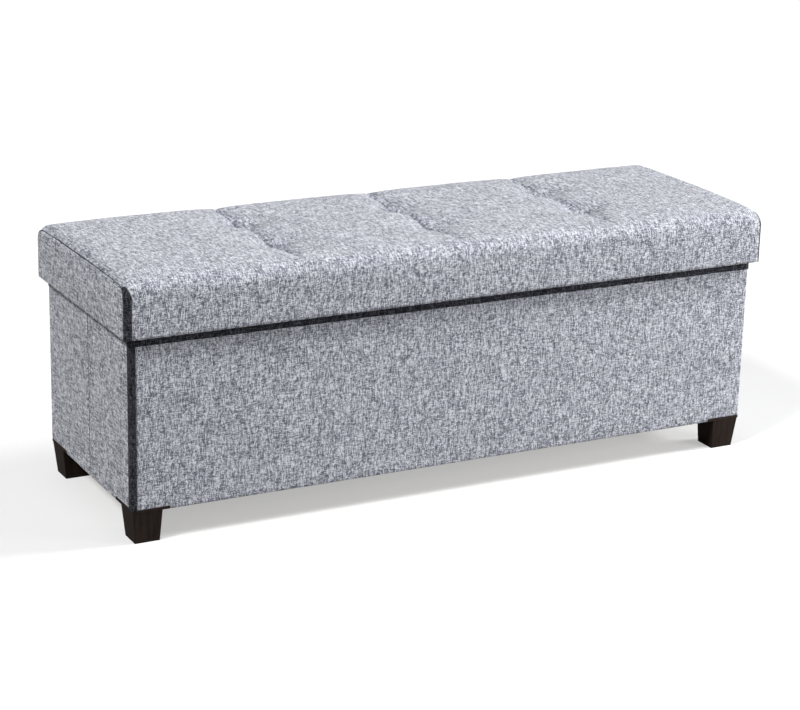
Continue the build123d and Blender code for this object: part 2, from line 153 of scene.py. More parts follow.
def ripple(point, size, amount, seed=0.0):
    """Smooth unevenness of about that size in metres."""
    return amount * noise.noise(Vector(point) / size + Vector((seed, seed * 0.7, 0)))


def ease(t):
    t = min(1.0, max(0.0, t))
    return t * t * (3 - 2 * t)


# Material helpers ----------------------------------------------------------------

class Shader:
    """Short names for building one node material."""

    def __init__(self, name, roughness, **uniform):
        self.material = bpy.data.materials.new(name)
        self.material.use_nodes = True
        self.tree = self.material.node_tree
        self.surface = self.tree.nodes["Principled BSDF"]
        self.surface.inputs["Roughness"].default_value = roughness
        for socket, value in uniform.items():
            self.surface.inputs[socket.replace("_", " ")].default_value = value

    def node(self, kind, **settings):
        made = self.tree.nodes.new(kind)
        for key, value in settings.items():
            setattr(made, key, value)
        return made

    def feed(self, socket, value):
        if isinstance(value, bpy.types.NodeSocket):
            self.tree.links.new(value, socket)
        elif value is not None:
            socket.default_value = value

    def math(self, operation, a, b=None, c=None):
        made = self.node("ShaderNodeMath", operation=operation)
        for socket, value in zip(made.inputs, (a, b, c)):
            self.feed(socket, value)
        return made.outputs[0]

    def vector(self, x, y, z):
        made = self.node("ShaderNodeCombineXYZ")
        for socket, value in zip(made.inputs, (x, y, z)):
            self.feed(socket, value)
        return made.outputs[0]

    def place(self):
        """X, Y and Z of the point on the piece."""
        coordinates = self.node("ShaderNodeTexCoord")
        split = self.node("ShaderNodeSeparateXYZ")
        self.tree.links.new(coordinates.outputs["Object"], split.inputs[0])
        return split.outputs

    def noise(self, x, y, z, detail=0.0, roughness=0.5):
        made = self.node("ShaderNodeTexNoise")
        made.inputs["Scale"].default_value = 1.0
        made.inputs["Detail"].default_value = detail
        made.inputs["Roughness"].default_value = roughness
        self.tree.links.new(self.vector(x, y, z), made.inputs["Vector"])
        return made.outputs["Fac"]

    def spread(self, value, low, high, to_low=0.0, to_high=1.0):
        made = self.node("ShaderNodeMapRange")
        for socket, number in zip(list(made.inputs)[1:5], (low, high, to_low, to_high)):
            socket.default_value = number
        self.feed(made.inputs[0], value)
        return made.outputs[0]

    def blend(self, amount, a, b):
        """Mix of two numbers."""
        made = self.node("ShaderNodeMix", data_type="FLOAT")
        self.feed(made.inputs[0], amount)
        self.feed(made.inputs[2], a)
        self.feed(made.inputs[3], b)
        return made.outputs[0]

    def tint(self, amount, a, b):
        """Mix of two colours."""
        made = self.node("ShaderNodeMix", data_type="RGBA")
        self.feed(made.inputs[0], amount)
        for socket, colour in ((made.inputs[6], a), (made.inputs[7], b)):
            if isinstance(colour, tuple):
                colour = colour + (1.0,)
            self.feed(socket, colour)
        return made.outputs[2]

    def ramp(self, value, stops):
        made = self.node("ShaderNodeValToRGB")
        elements = made.color_ramp.elements
        while len(elements) < len(stops):
            elements.new(0.5)
        for element, (position, colour) in zip(elements, stops):
            element.position = position
            element.color = colour + (1.0,)
        self.feed(made.inputs[0], value)
        return made.outputs[0]

    def colour(self, socket):
        self.feed(self.surface.inputs["Base Color"], socket)

    def rough(self, socket):
        self.feed(self.surface.inputs["Roughness"], socket)

    def bump(self, height, strength, distance):
        made = self.node("ShaderNodeBump")
        made.inputs["Strength"].default_value = strength
        made.inputs["Distance"].default_value = distance
        self.feed(made.inputs["Height"], height)
        self.feed(self.surface.inputs["Normal"], made.outputs[0])


def cloth_plane(s, plane):
    """The two directions of the threads on a piece: across it, and up or over it.

    On an end wall's rim the second goes up the outside and on in over the top."""
    x, y, z = s.place()
    if plane == "end":
        return y, z
    if plane == "corner":
        return s.math("SUBTRACT", x, y), z
    if plane == "rim":
        return y, s.math("SUBTRACT", z, s.math("ABSOLUTE", x))
    behind = s.math("GREATER_THAN", y, TOP_HIGH[1] - ROLL)
    side = s.math("MULTIPLY_ADD", behind, -2.0, 1.0)
    return x, s.math("MULTIPLY_ADD", z, side, y)


def weave_tone(s, plane, pitch, weft_run, warp_run, sharp):
    """A plain weave of slubby threads. Returns the tone, 0 to 1, with painted shade in the dips between
    threads, and the relief.
    """
    u, v = cloth_plane(s, plane)
    wander = s.noise(s.math("MULTIPLY", u, 60), s.math("MULTIPLY", v, 60), 2.0)
    wander = s.math("MULTIPLY", wander, 1.2)
    across = s.math("MULTIPLY_ADD", v, 1 / pitch, wander)
    along = s.math("MULTIPLY_ADD", u, 1 / pitch, wander)
    row = s.math("MULTIPLY", s.math("FLOOR", across), 5.37)
    column = s.math("MULTIPLY", s.math("FLOOR", along), 5.37)
    weft = s.noise(s.math("MULTIPLY", u, 1 / weft_run), row, 0.5, 2.0, 0.6)
    warp = s.noise(column, s.math("MULTIPLY", v, 1 / warp_run), 9.5, 2.0, 0.6)
    weft = s.spread(weft, 0.5 - sharp, 0.5 + sharp)
    warp = s.spread(warp, 0.5 - sharp, 0.5 + sharp)
    row_wave = s.math("SINE", s.math("MULTIPLY", across, math.pi))
    column_wave = s.math("SINE", s.math("MULTIPLY", along, math.pi))
    over = s.spread(s.math("MULTIPLY", row_wave, column_wave), -0.35, 0.25)
    tone = s.blend(over, weft, warp)
    relief = s.blend(over, s.math("ABSOLUTE", row_wave), s.math("ABSOLUTE", column_wave))
    relief = s.math("MULTIPLY_ADD", tone, 0.4, relief)
    cloud = s.noise(s.math("MULTIPLY", u, 14), s.math("MULTIPLY", v, 14), 6.0, 2.0)
    # Colour darker in the dips between threads and lighter on their crowns: painted shade on the weave,
    # besides the bump.
    shaded = s.math("MULTIPLY_ADD", relief, 0.25, tone)
    shaded = s.math("MULTIPLY_ADD", cloud, 0.10, shaded)
    return s.math("SUBTRACT", shaded, 0.25), relief


def grey_weave(name, plane, weft_run, warp_run, sharp):
    s = Shader(name, 0.92, Sheen_Weight=0.25, Sheen_Roughness=0.5, Specular_IOR_Level=0.2)
    tone, relief = weave_tone(s, plane, 1.5 * MM, weft_run, warp_run, sharp)
    s.colour(
        s.ramp(
            tone,
            (
                (0.0, (0.115, 0.124, 0.155)),
                (0.35, (0.300, 0.317, 0.380)),
                (0.65, (0.510, 0.530, 0.605)),
                (1.0, (0.850, 0.862, 0.920)),
            ),
        )
    )
    s.bump(relief, 0.55, 0.5 * MM)
    return s.material


def charcoal_weave(name, plane):
    s = Shader(name, 0.9, Sheen_Weight=0.05, Specular_IOR_Level=0.15)
    tone, relief = weave_tone(s, plane, 1.5 * MM, 8 * MM, 8 * MM, 0.12)
    s.colour(
        s.ramp(
            tone,
            (
                (0.0, (0.006, 0.006, 0.008)),
                (0.5, (0.022, 0.023, 0.030)),
                (1.0, (0.110, 0.114, 0.135)),
            ),
        )
    )
    s.bump(relief, 0.5, 0.4 * MM)
    return s.material


def black_lining():
    """Thin pressed non-woven cloth with a small dimpled grid."""
    s = Shader("black_lining", 0.85, Specular_IOR_Level=0.3)
    x, y, z = s.place()
    u = s.math("ADD", x, y)
    v = s.math("ADD", z, s.math("MULTIPLY", y, 0.5))
    dots = s.math(
        "MULTIPLY",
        s.math("SINE", s.math("MULTIPLY", u, 2400)),
        s.math("SINE", s.math("MULTIPLY", v, 2400)),
    )
    fibre = s.noise(s.math("MULTIPLY", u, 700), s.math("MULTIPLY", v, 700), 1.0, 3.0)
    s.colour(s.ramp(fibre, ((0.3, (0.016, 0.016, 0.018)), (0.7, (0.045, 0.045, 0.049)))))
    s.bump(s.math("MULTIPLY_ADD", dots, 0.5, fibre), 0.35, 0.3 * MM)
    return s.material


def wood(name, along, dark, light, roughness, ring, coat=0.0):
    """Straight grain along one axis, with pores."""
    s = Shader(name, roughness, Coat_Weight=coat, Coat_Roughness=0.3, Specular_IOR_Level=0.25)
    place = list(s.place())
    stretch = [1 / ring, 1 / ring, 1 / ring]
    stretch[along] = 0.06 / ring
    bent = [s.math("MULTIPLY", p, k) for p, k in zip(place, stretch)]
    grain = s.noise(*bent, 4.0, 0.55)
    fine = [s.math("MULTIPLY", p, k * 5) for p, k in zip(place, stretch)]
    pores = s.noise(*fine, 2.0, 0.6)
    tone = s.math("MULTIPLY_ADD", pores, 0.35, s.math("MULTIPLY", grain, 0.75))
    s.colour(s.ramp(tone, ((0.38, dark), (0.68, light))))
    s.rough(s.spread(tone, 0.35, 0.7, roughness - 0.08, roughness + 0.12))
    s.bump(tone, 0.25, 0.25 * MM)
    return s.material


def metal(name, dark, light, roughness, metallic):
    s = Shader(name, roughness, Metallic=metallic)
    x, y, z = s.place()
    brushed = s.noise(
        s.math("MULTIPLY", x, 150), s.math("MULTIPLY", y, 1100), s.math("MULTIPLY", z, 1100), 3.0
    )
    s.colour(s.ramp(brushed, ((0.3, dark), (0.7, light))))
    s.rough(s.spread(brushed, 0.3, 0.7, roughness - 0.07, roughness + 0.1))
    s.bump(brushed, 0.12, 0.1 * MM)
    return s.material


def rubber():
    s = Shader("bumper_rubber", 0.8, Specular_IOR_Level=0.3)
    x, y, z = s.place()
    speck = s.noise(*(s.math("MULTIPLY", p, 900) for p in (x, y, z)), 3.0)
    s.colour(s.ramp(speck, ((0.3, (0.012, 0.012, 0.012)), (0.7, (0.035, 0.035, 0.036)))))
    s.bump(speck, 0.2, 0.1 * MM)
    return s.material


LONG_WEAVE = grey_weave("grey_weave_long", "long", 6 * MM, 10 * MM, 0.08)
END_WEAVE = grey_weave("grey_weave_end", "end", 14 * MM, 10 * MM, 0.03)
RIM_WEAVE = grey_weave("grey_weave_rim", "rim", 14 * MM, 10 * MM, 0.03)
LONG_CHARCOAL = charcoal_weave("charcoal_long", "long")
CORNER_CHARCOAL = charcoal_weave("charcoal_corner", "corner")
LINING = black_lining()
LEG_WOOD = wood("leg_stain", 2, (0.010, 0.0055, 0.004), (0.030, 0.0175, 0.0125), 0.45, 6 * MM, 0.04)
BOARD_WOOD = wood("panel_board", 0, (0.42, 0.29, 0.17), (0.62, 0.47, 0.31), 0.7, 9 * MM)
RAIL_WOOD = wood("rail_timber", 0, (0.50, 0.35, 0.19), (0.70, 0.54, 0.35), 0.65, 7 * MM)
BLACK_STEEL = metal("black_steel", (0.018, 0.018, 0.019), (0.05, 0.05, 0.052), 0.38, 0.6)
ZINC_STEEL = metal("zinc_steel", (0.45, 0.46, 0.48), (0.68, 0.69, 0.70), 0.32, 1.0)
RUBBER = rubber()


def dress_cad_nodes():
    """Gives every CAD node that stays its finished material."""
    finishes = {
        "leg_stain": LEG_WOOD,
        "panel_board": BOARD_WOOD,
        "rail_timber": RAIL_WOOD,
        "black_steel": BLACK_STEEL,
        "zinc_steel": ZINC_STEEL,
        "bumper_rubber": RUBBER,
        "black_lining": LINING,
        "tie_cord": END_WEAVE,
        "grey_weave": LONG_WEAVE,
        "charcoal_binding": CORNER_CHARCOAL,
        "cushion_foam": LONG_WEAVE,
    }
    for part in frame["record"]["subparts"]:
        for place in NODES[part["node"]].material_slots:
            place.material = finishes[part["material_slot"]]


# Lid -------------------------------------------------------------------------------

def rolled_outline(step):
    """Points round the lid's section: up the front, over the top, down the back.

    Each is (y, z, outward y, outward z)."""
    half = TOP_HIGH[1]
    low = TOP_LOW[2]
    high = TOP_HIGH[2]
    points = [(-half, z, -1.0, 0.0) for z in stations(low, high - ROLL, step)]
    turns = 9
    for k in range(1, turns):
        angle = math.pi / 2 * k / turns
        out_y = -math.cos(angle)
        out_z = math.sin(angle)
        points.append((-half + ROLL + ROLL * out_y, high - ROLL + ROLL * out_z, out_y, out_z))
    mirrored = [(-y, z, -out_y, out_z) for y, z, out_y, out_z in reversed(points)]
    by_stitch = [row + k * MM for row in ROWS for k in ROW_STEPS]
    plain = stations(-half + ROLL, half - ROLL, step)
    kept = [y for y in plain if min(abs(y - row) for row in ROWS) > ROW_CLEAR]
    flat = [(y, high, 0.0, 1.0) for y in sorted(kept + by_stitch)]
    return points + flat + mirrored


def crease_fade(y):
    """How much of a crease is left at a depth: it dies out before the front and back edges."""
    back = ease((TOP_HIGH[1] - 4 * MM - y) / (40 * MM))
    return back * ease((y + TOP_HIGH[1] - 26 * MM) / (70 * MM))


def dimple_share(x, y):
    """How much of a dimple's depth a point has: steep by the stitch, with a soft bowl round it."""
    beyond = min(max(0.0, abs(x - column) - STITCH / 2) for column in COLUMNS)
    away = math.hypot(beyond, min(abs(y - row) for row in ROWS))
    core = 0.2 * math.exp(-away / (2.5 * MM)) + 0.4 * math.exp(-away / (11 * MM))
    return core + 0.4 * math.exp(-((away / (34 * MM)) ** 2))


def crease_depth(x, y):
    """How far the tufting pulls the top down at a point."""
    dimple = dimple_share(x, y)
    off = min(abs(x - column) for column in COLUMNS)
    line = CREASE_DEPTH * math.exp(-off / CREASE_WIDE) * (1 - dimple)
    line += VALLEY_DEPTH * math.exp(-((off / VALLEY_WIDE) ** 2)) * (1 - dimple)
    line += SLIT_DEPTH * math.exp(-off / SLIT_WIDE) * (1 - dimple) ** 0.5
    return DIMPLE_DEPTH * dimple + line * crease_fade(y)


def top_swell(x, y):
    """The dome of the padding, and its crown between the rows of tufts and the ends."""
    marks = (-END_FACE,) + COLUMNS + (END_FACE,)
    swell = DOME
    for low, high, crown in zip(marks, marks[1:], CROWNS):
        if low < x < high:
            swell += crown * math.sin(math.pi * (x - low) / (high - low)) ** 0.4
    return swell * (1 - (y / TOP_HIGH[1]) ** 4)


def end_tuck(x, out_z):
    """How far the cover rolls down to the seam at the lid's ends, less on the upright faces."""
    past = max(0.0, abs(x) - TOP_HIGH[0] + SEAM_ROLL * 0.87)
    return (SEAM_ROLL - math.sqrt(SEAM_ROLL**2 - past**2)) * (0.25 + 0.75 * out_z)


def cushion_point(x, spot, tufted=True):
    """A point of the cushion's outside, with its crown, end seam and, if asked, its creases."""
    y, z, out_y, out_z = spot
    foam = ease((z - FOAM_LOW) / (25 * MM))
    inward = ease((TOP_HIGH[0] - abs(x)) / (12 * MM))
    calm = foam * (1 - 0.7 * abs(y / TOP_HIGH[1]) ** 4)
    soft = ripple((x, y, z), 0.09, 0.8 * MM, 3.1) * calm
    soft += ripple((x, y * 0.4, z), 0.03, 0.35 * MM, 7.7) * calm
    lift = out_z * top_swell(x, y) + soft * inward - end_tuck(x, out_z)
    if tufted:
        lift -= out_z * crease_depth(x, y)
    puff = 1.0 * MM * math.sin(math.pi * min(1.0, (z - TOP_LOW[2]) / (ROLL * 3)))
    lift += puff * abs(out_y) * inward
    return Vector((x, y + out_y * lift, z + out_z * lift))


def pin_strength(x, spot):
    """How firmly a point is held while the padding swells: 1 is fixed."""
    y, z, _, out_z = spot
    if abs(x) > TOP_HIGH[0] - SEAM_ROLL:
        return 1.0
    hold = 1.0 - ease((z - FOAM_LOW) / (10 * MM))
    if out_z > 0.5:
        hold = max(hold, ease((dimple_share(x, y) - 0.2) / 0.3))
        off = min(abs(x - column) for column in COLUMNS)
        hold = max(hold, 0.9 * ease(2 - off / (4 * MM)) * crease_fade(y))
    return hold


def inflate(rows, slack_rows, pins, pressure, frames, cap):
    """Swells a sheet by cloth simulation and returns its rows, each point moved by cap at most."""
    sheet = grid_piece("swelling_cover", rows, [])
    sheet.shape_key_add(name="Basis")
    slack = sheet.shape_key_add(name="slack")
    for spot, point in zip(slack.data, [p for row in slack_rows for p in row]):
        spot.co = point
    group = sheet.vertex_groups.new(name="held")
    for index, hold in enumerate(pins):
        if hold > 0:
            group.add([index], hold, "REPLACE")
    cloth = sheet.modifiers.new("cloth", "CLOTH")
    settings = cloth.settings
    settings.quality = 6
    settings.mass = 0.25
    settings.tension_stiffness = 12
    settings.compression_stiffness = 12
    settings.shear_stiffness = 6
    settings.bending_stiffness = 0.25
    settings.air_damping = 2
    settings.use_pressure = True
    settings.uniform_pressure_force = pressure
    settings.shrink_min = -0.012
    settings.vertex_group_mass = "held"
    settings.rest_shape_key = slack
    settings.effector_weights.gravity = 0
    cloth.collision_settings.use_collision = False
    cloth.point_cache.frame_start = 1
    cloth.point_cache.frame_end = frames
    scene = bpy.context.scene
    for step in range(1, frames + 1):
        scene.frame_set(step)
    swollen = sheet.evaluated_get(bpy.context.evaluated_depsgraph_get())
    moved = [vertex.co.copy() for vertex in swollen.data.vertices]
    mesh = sheet.data
    bpy.data.objects.remove(sheet)
    bpy.data.meshes.remove(mesh)
    scene.frame_set(1)
    columns = len(rows[0])
    result = []
    for r, row in enumerate(rows):
        done = []
        for c, start in enumerate(row):
            step = moved[r * columns + c] - start
            if step.length > cap:
                step *= cap / step.length
            done.append(start + step)
        result.append(done)
    return result


def cushion_stations():
    """Places along the lid: close together at the end seams and across each crease."""
    extra = [s * (TOP_HIGH[0] - k * MM) for s in (-1, 1) for k in (0.5, 1.3, 2.5, 4, 6, 9)]
    extra += [column + k * MM for column in COLUMNS for k in CREASE_STEPS]
    plain = stations(-TOP_HIGH[0], TOP_HIGH[0], GRID)
    kept = [x for x in plain if min(abs(x - column) for column in COLUMNS) > CREASE_CLEAR]
    return sorted(set(kept + extra))


def make_cushion():
    """Foam and cover as one padded piece: a channel that sits over the lid's timber.

    Returns the section that its ends have."""
    outline = rolled_outline(GRID)
    xs = cushion_stations()
    surface = [[cushion_point(x, spot) for spot in outline] for x in xs]
    slack = [[cushion_point(x, spot, tufted=False) for spot in outline] for x in xs]
    pins = [pin_strength(x, spot) for x in xs for spot in outline]
    surface = inflate(surface, slack, pins, pressure=1.6, frames=20, cap=3 * MM)
    inner_y = TOP_HIGH[1] - SKIN
    inside = [
        (inner_y, TOP_LOW[2]),
        (inner_y, FOAM_LOW),
        (-inner_y, FOAM_LOW),
        (-inner_y, TOP_LOW[2]),
    ]
    rows = []
    for x, row in zip(xs, surface):
        rows.append(row + [Vector((x, y, z)) for y, z in inside])
    columns = len(rows[0])
    points = [p for row in rows for p in row]
    faces = [tuple(reversed(face)) for face in grid_faces(len(rows), columns, closed=True)]
    last = (len(rows) - 1) * columns
    faces.append(tuple(range(columns)))
    faces.append(tuple(last + c for c in reversed(range(columns))))
    piece = link_mesh("lid_cushion", points, faces, [LONG_WEAVE])
    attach(piece, "lid")
    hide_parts("lid_top_cover", "lid_foam_pad")
    return [(p.y, p.z) for p in surface[0]]


def section_top(section, y):
    """Height of the cushion's end section at a depth."""
    best = TOP_LOW[2]
    for (y0, z0), (y1, z1) in zip(section, section[1:]):
        low, high = min(y0, y1), max(y0, y1)
        if high - low < 0.01 * MM:
            if low - 0.1 * MM <= y <= high + 0.1 * MM:
                best = max(best, z0, z1)
        elif low <= y <= high:
            best = max(best, z0 + (y - y0) / (y1 - y0) * (z1 - z0))
    return best


def make_gusset(side, name, node, section):
    """The cloth end of the lid, softly padded, seamed to the cushion round its edge.

    The area it declares is the finished piece's own, capped at its flat size."""
    half = TOP_HIGH[1]
    low = TOP_LOW[2]
    near_edge = (0.7, 2, 3.5, 7, 11, 16)
    ys = stations(-half, half, 5 * MM, [s * (half - k * MM) for s in (-1, 1) for k in near_edge])
    steps = [0, 0.012, 0.03, 0.06] + [0.12 + 0.095 * k for k in range(9)] + [0.94, 0.97, 0.988, 1]
    rows = []
    for y in ys:
        top = section_top(section, y) - 0.2 * MM
        row = []
        for t in steps:
            z = low + (top - low) * t
            edge = min(half - abs(y), z - low + 2 * MM, top - z)
            tuck = 3 * MM * math.exp(-edge / (2.2 * MM))
            belly = 1.4 * MM * ease(edge / (30 * MM))
            belly += ripple((0, y, z), 0.05, 0.5 * MM, 5.5) * ease(edge / (10 * MM))
            row.append(Vector((side * (END_FACE + 1.5 * MM - tuck + belly), y, z)))
        rows.append(row)
    piece = grid_piece(name, rows, [END_WEAVE], flip=side < 0)
    thicken(piece, SKIN)
    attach(piece, "lid")
    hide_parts(node)


def make_seam_shade_cord(name, path, part):
    """A dark cord along a path of points, each with its sideways and outward directions. Laid in a
    seam, it paints the shade of the seam's groove.
    """
    points = []
    for centre, sideways, outward in path:
        for k in range(SEAM_CORD_SIDES):
            turn = 2 * math.pi * k / SEAM_CORD_SIDES
            away = math.sin(turn) * sideways + math.cos(turn) * outward
            points.append(centre + SEAM_CORD_R * away)
    faces = grid_faces(len(path), SEAM_CORD_SIDES, closed=True)
    last = (len(path) - 1) * SEAM_CORD_SIDES
    faces.append(tuple(reversed(range(SEAM_CORD_SIDES))))
    faces.append(tuple(last + k for k in range(SEAM_CORD_SIDES)))
    piece = link_mesh(name, points, faces, [CORNER_CHARCOAL])
    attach(piece, part)


def make_lid_seam(side, name, section):
    """A dark cord along the seam between the lid's end and its top: painted shade for the seam's
    groove.
    """
    outward = Vector((side, 0, 0))
    path = []
    for y, z in section[::side]:
        middle = Vector((side * (END_FACE - 0.6 * MM), y, z))
        path.append((middle, Vector((0, y, z - TOP_LOW[2])).normalized(), outward))
    make_seam_shade_cord(name, path, "lid")


def strip_section(side_reach, front_reach, corner, bulge, pinch):
    """Section of a strip round an upright corner, from its end arm to its front arm.

    Each point is (in from the end face, in from the front face). The cloth is pinched
    into a fine ridge on the corner itself."""
    points = [(-bulge, side_reach * k / 3 + corner * (1 - k / 3)) for k in (3, 2, 1)]
    for k in range(7):
        angle = math.pi / 2 * k / 6
        reach = corner + bulge + pinch * math.exp(-((k - 3) / 0.8) ** 2)
        points.append((corner - reach * math.cos(angle), corner - reach * math.sin(angle)))
    points += [(front_reach * k / 3 + corner * (1 - k / 3), -bulge) for k in (1, 2, 3)]
    return points


def make_lid_strip(side, ahead, name, node):
    """The dark strip round an upright corner of the lid, up into the rolled edge.

    ahead is -1 at the front and 1 at the back. The part's listed length, 95 mm, is a round figure about
    10 mm more than the strip here, and its listed width is short to match."""
    half = TOP_HIGH[1]
    section = strip_section(5 * MM, 11 * MM, 2 * MM, 1.2 * MM, 1.0 * MM)
    path = [(0.0, -1.0, 0.0, z) for z in stations(TOP_LOW[2] + 0.3 * MM, TOP_HIGH[2] - ROLL, 5 * MM)]
    turns = 10
    for k in range(1, turns):
        angle = LID_STRIP_TURN * k / turns
        path.append((angle, -math.cos(angle), math.sin(angle), TOP_HIGH[2] - ROLL))
    rows = []
    for angle, out_y, out_z, level in path:
        narrow = 1 - 0.6 * ease(angle / LID_STRIP_TURN)
        row = []
        for in_x, in_y in section:
            reach = ROLL - in_y * (narrow if in_y > 0 else 1)
            y = -half + ROLL + out_y * reach
            z = level + out_z * reach
            x = END_FACE - in_x * (narrow if in_x > 0 else 1)
            row.append(Vector((side * x, -ahead * y, z)))
        rows.append(row)
    piece = grid_piece(name, rows, [CORNER_CHARCOAL], flip=side * ahead > 0)
    thicken(piece, STRIP_THICK)
    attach(piece, "lid")
    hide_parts(node)


# Body ------------------------------------------------------------------------------

def wall_path(half, low_strip, high_strip, step, extra=()):
    """Stations along a wall as (along, back): how far along it, and how far behind its face.

    A plain end turns half way round the corner, where the next wall's cloth meets it.
    An end under a corner strip stops short, flat."""
    turn = 3 * MM
    straight_low = -half + (5 * MM if low_strip else turn)
    straight_high = half - (5 * MM if high_strip else turn)
    path = [(x, 0.0) for x in stations(straight_low, straight_high, step, extra)]
    bends = [(turn * math.sin(a), turn - turn * math.cos(a)) for a in (0.26, 0.52, 0.785)]
    if not low_strip:
        path = [(straight_low - along, back) for along, back in reversed(bends)] + path
    if not high_strip:
        path += [(straight_high + along, back) for along, back in bends]
    return path


def wall_steps():
    """Shares of a wall's height, close together at the turned edges."""
    return [0, 0.004, 0.01, 0.02, 0.05] + [0.1 * k for k in range(1, 10)] + [0.95, 0.98, 0.99, 0.996, 1]


def wall_stand(edge, half, along, point, seed):
    """How far the cloth stands off its wall: tucked at foot and rim, a little full between."""
    tuck = 1.0 * MM * math.exp(-edge / (1.6 * MM))
    inward = ease((half - abs(along) - 3 * MM) / (12 * MM))
    full = 0.6 * MM * ease(edge / (25 * MM)) + ripple(point, 0.08, 0.5 * MM, seed)
    return full * inward - tuck


def make_long_panel(ahead, name, node):
    """Cloth over the front or back wall. ahead is -1 at the front and 1 at the back."""
    high_z = BODY_HIGH[2]
    notch = -PLATE_HIGH[0] - 0.4 * MM
    marks = [s * v for s in (-1, 1) for v in (notch, notch - 0.6 * MM)]
    rows = []
    for along, back in wall_path(BODY_X, ahead < 0, ahead > 0, 8 * MM, marks):
        foot = PLATE_HIGH[2] if abs(along) >= notch - 0.1 * MM else BODY_LOW[2]
        row = []
        for t in wall_steps():
            z = foot + (high_z - foot) * t
            edge = min(z - foot, high_z - z + 3 * MM)
            stand = wall_stand(edge, BODY_X, along, (along, 0, z), 1.3 + ahead) - back
            row.append(Vector((along, ahead * (BODY_Y + stand), z)))
        rows.append(row)
    piece = grid_piece(name, rows, [LONG_WEAVE], flip=ahead > 0)
    finish_cover(piece, node)


def finish_cover(piece, node):
    """Gives a wall's cloth its thickness and its body, and hides the CAD node it replaces.

    The flat size is the finished piece's outer spans, without turned-in edges, and the
    area is its own, capped at that size. Neither comes from a real cut.
    """
    thicken(piece, COVER_THICK)
    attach(piece, "body")
    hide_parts(node)


def make_end_panel(side, name, node):
    """Cloth over an end wall, with the fold seam down the middle and a dark cord in it that paints the
    shade of its groove.
    """
    notch = BODY_Y - (PLATE_HIGH[1] - PLATE_LOW[1]) - 0.9 * MM
    marks = [s * v for s in (-1, 1) for v in (notch, notch - 0.6 * MM)]
    marks += [s * v * MM for s in (-1, 1) for v in (0.0, 0.5, 1.0, 1.8, 3.2, 5.0, 8.0)]
    rows = []
    for along, back in wall_path(BODY_Y, side < 0, side > 0, 7 * MM, marks):
        fold = 5 * MM * math.exp(-abs(along) / (3 * MM))
        foot = PLATE_HIGH[2] if abs(along) >= notch - 0.1 * MM else BODY_FOOT + fold
        row = []
        for t in wall_steps():
            z = foot + (RIM - foot) * t
            edge = min(z - foot, RIM - z + 1 * MM)
            stand = wall_stand(edge, BODY_Y, along, (0, along, z), 2.9 * side) - back
            stand -= 2.4 * MM * math.exp(-abs(along) / (1.3 * MM))
            stand += 0.8 * MM * math.exp(-(((abs(along) - 6 * MM) / (4 * MM)) ** 2))
            row.append(Vector((side * (BODY_X + stand), along, z)))
        rows.append(row)
        if abs(along) < 0.1 * MM:
            seam = row
    piece = grid_piece(name, rows, [END_WEAVE], flip=side < 0)
    finish_cover(piece, node)
    # The dark cord down the fold seam is painted shade for its groove.
    outward = Vector((side, 0, 0))
    sideways = Vector((0, -side, 0))
    path = [(point + 1.5 * MM * outward, sideways, outward) for point in seam]
    make_seam_shade_cord(name + "_seam", path, "body")


def make_rim_hem(side, name):
    """The end wall's cloth turned over the rim and down inside."""
    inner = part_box("right_end_front_board")[0][0]
    half = BODY_Y - 15.5 * MM
    section = [
        (BODY_X + 0.9 * MM, RIM - 3.5 * MM),
        (BODY_X + 1.0 * MM, RIM - 1.2 * MM),
        (BODY_X + 0.2 * MM, RIM - 0.2 * MM),
        (BODY_X - 1.5 * MM, RIM),
        (inner + 1.5 * MM, RIM),
        (inner - 0.4 * MM, RIM - 0.5 * MM),
        (inner - 1.3 * MM, RIM - 2 * MM),
        (inner - 1.4 * MM, RIM - 6 * MM),
    ]
    rows = []
    for y in stations(-half, half, 8 * MM):
        sway = abs(ripple((0, y, 0), 0.04, 0.4 * MM, 3.3))
        rows.append([Vector((side * x, y, z - sway)) for x, z in section])
    piece = grid_piece(name, rows, [RIM_WEAVE], flip=side < 0)
    thicken(piece, STRIP_THICK)
    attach(piece, "body")


def make_corner_strip(side, ahead, name, node):
    """The dark strip down an upright corner of the body.

    rests_on names the left end's board for both strips, though one is on the right end."""
    section = strip_section(12 * MM, 8 * MM, 4 * MM, 0.9 * MM, 0.0)
    rows = []
    for z in stations(PLATE_HIGH[2] - 1.5 * MM, RIM, 8 * MM):
        row = []
        for in_x, in_y in section:
            shift = ripple((in_x, in_y, z), 0.04, 0.25 * MM, 4.4)
            row.append(Vector((side * (BODY_X - in_x + shift), ahead * (BODY_Y - in_y), z)))
        rows.append(row)
    piece = grid_piece(name, rows, [CORNER_CHARCOAL], flip=side * ahead > 0)
    thicken(piece, STRIP_THICK)
    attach(piece, "body")
    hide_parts(node)


